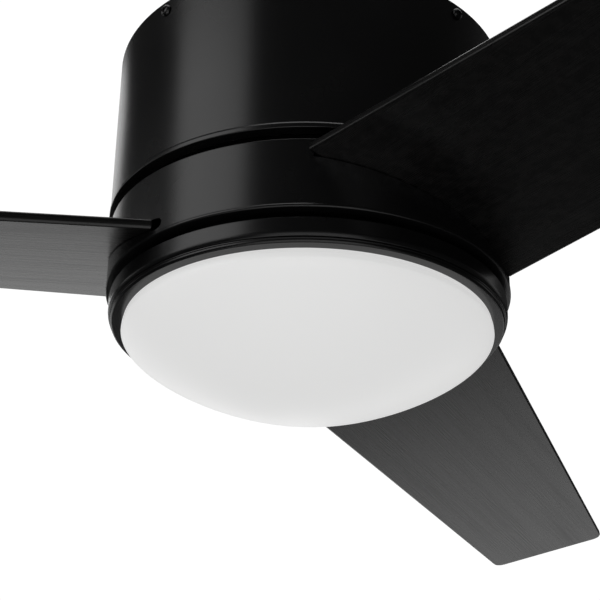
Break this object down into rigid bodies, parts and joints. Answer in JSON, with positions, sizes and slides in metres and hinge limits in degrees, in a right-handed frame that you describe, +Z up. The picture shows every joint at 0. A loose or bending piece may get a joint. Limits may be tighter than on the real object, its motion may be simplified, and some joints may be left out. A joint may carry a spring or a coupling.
{
  "type": "ceiling fan with light",
  "caption": "Low-profile black ceiling fan: round motor housing flush to the ceiling, turning drum with broad tapered pitched blades, and a shallow white opal light bowl below.",
  "frame": {"origin": "centre of the ceiling plate's top face, where the fan's axis meets the ceiling", "axes": "+Z up into the ceiling along the fan's axis; the fan hangs in -Z; -X is close to the radial line of the blade that points left in the front view; -Y is the front"},
  "size_m": [1.0961, 1.1726, 0.2458],
  "materials": {
    "satin_black": "satin black paint",
    "blade_black": "matt black painted board with a faint lengthwise grain",
    "zinc_steel": "zinc-plated pressed steel",
    "motor_steel": "varnished electrical steel laminations",
    "coil_copper": "enamelled copper wire",
    "cast_aluminium": "as-cast aluminium",
    "bearing_steel": "ground bearing steel",
    "opal_lens": "smooth opal white acrylic",
    "white_tray": "white powder coat",
    "light_board": "white solder mask",
    "dark_plastic": "moulded dark plastic",
    "sleeve_rubber": "black wire sleeve"
  },
  "bodies": {
    "fixed": {"ceiling_plate": "zinc_steel", "upper_housing": "satin_black", "housing_screw_1": "satin_black", "housing_screw_2": "satin_black", "housing_screw_3": "satin_black", "housing_screw_4": "satin_black", "motor_hanger": "zinc_steel", "hanger_bolt_1": "zinc_steel", "hanger_bolt_2": "zinc_steel", "hanger_bolt_3": "zinc_steel", "main_shaft": "zinc_steel", "shaft_lock_nut": "zinc_steel", "stator_core": "motor_steel", "stator_winding": "coil_copper", "upper_bearing_inner_race": "bearing_steel", "lower_bearing_inner_race": "bearing_steel", "light_pan": "satin_black", "light_nut": "zinc_steel", "bezel_ring": "satin_black", "led_tray": "white_tray", "led_board": "light_board", "led_driver": "dark_plastic", "terminal_block": "dark_plastic", "run_capacitor": "dark_plastic", "light_harness": "sleeve_rubber"},
    "rotor": {"rotor_ring": "motor_steel", "rotor_upper_cover": "cast_aluminium", "rotor_lower_cover": "cast_aluminium", "upper_bearing_outer_race": "bearing_steel", "lower_bearing_outer_race": "bearing_steel", "drum_shell": "satin_black", "drum_screw_1": "satin_black", "drum_screw_2": "satin_black", "drum_screw_3": "satin_black", "blade_1": "blade_black", "blade_arm_1": "zinc_steel", "blade_1_screw_1": "satin_black", "blade_1_screw_2": "satin_black", "blade_1_screw_3": "satin_black", "arm_1_screw_1": "zinc_steel", "arm_1_screw_2": "zinc_steel", "blade_2": "blade_black", "blade_arm_2": "zinc_steel", "blade_2_screw_1": "satin_black", "blade_2_screw_2": "satin_black", "blade_2_screw_3": "satin_black", "arm_2_screw_1": "zinc_steel", "arm_2_screw_2": "zinc_steel", "blade_3": "blade_black", "blade_arm_3": "zinc_steel", "blade_3_screw_1": "satin_black", "blade_3_screw_2": "satin_black", "blade_3_screw_3": "satin_black", "arm_3_screw_1": "zinc_steel", "arm_3_screw_2": "zinc_steel"},
    "upper_balls": {"upper_bearing_balls": "bearing_steel"},
    "lower_balls": {"lower_bearing_balls": "bearing_steel"},
    "lens": {"dome_lens": "opal_lens"}
  },
  "joints": [
    {"name": "rotor_spin", "type": "hinge", "parent": "fixed", "child": "rotor", "pos_m": [0, 0, -0.15], "axis": [0, 0, 1], "continuous": true},
    {"name": "upper_balls_roll", "type": "hinge", "parent": "fixed", "child": "upper_balls", "pos_m": [0, 0, -0.1334], "axis": [0, 0, 1], "continuous": true},
    {"name": "lower_balls_roll", "type": "hinge", "parent": "fixed", "child": "lower_balls", "pos_m": [0, 0, -0.166], "axis": [0, 0, 1], "continuous": true},
    {"name": "lens_twist", "type": "hinge", "parent": "fixed", "child": "lens", "pos_m": [0, 0, -0.1932], "axis": [0, 0, 1], "range_deg": [0, 15]}
  ],
  "couplings": [
    {"joint": "upper_balls_roll", "follows": "rotor_spin", "ratio": 0.57},
    {"joint": "lower_balls_roll", "follows": "rotor_spin", "ratio": 0.57}
  ]
}
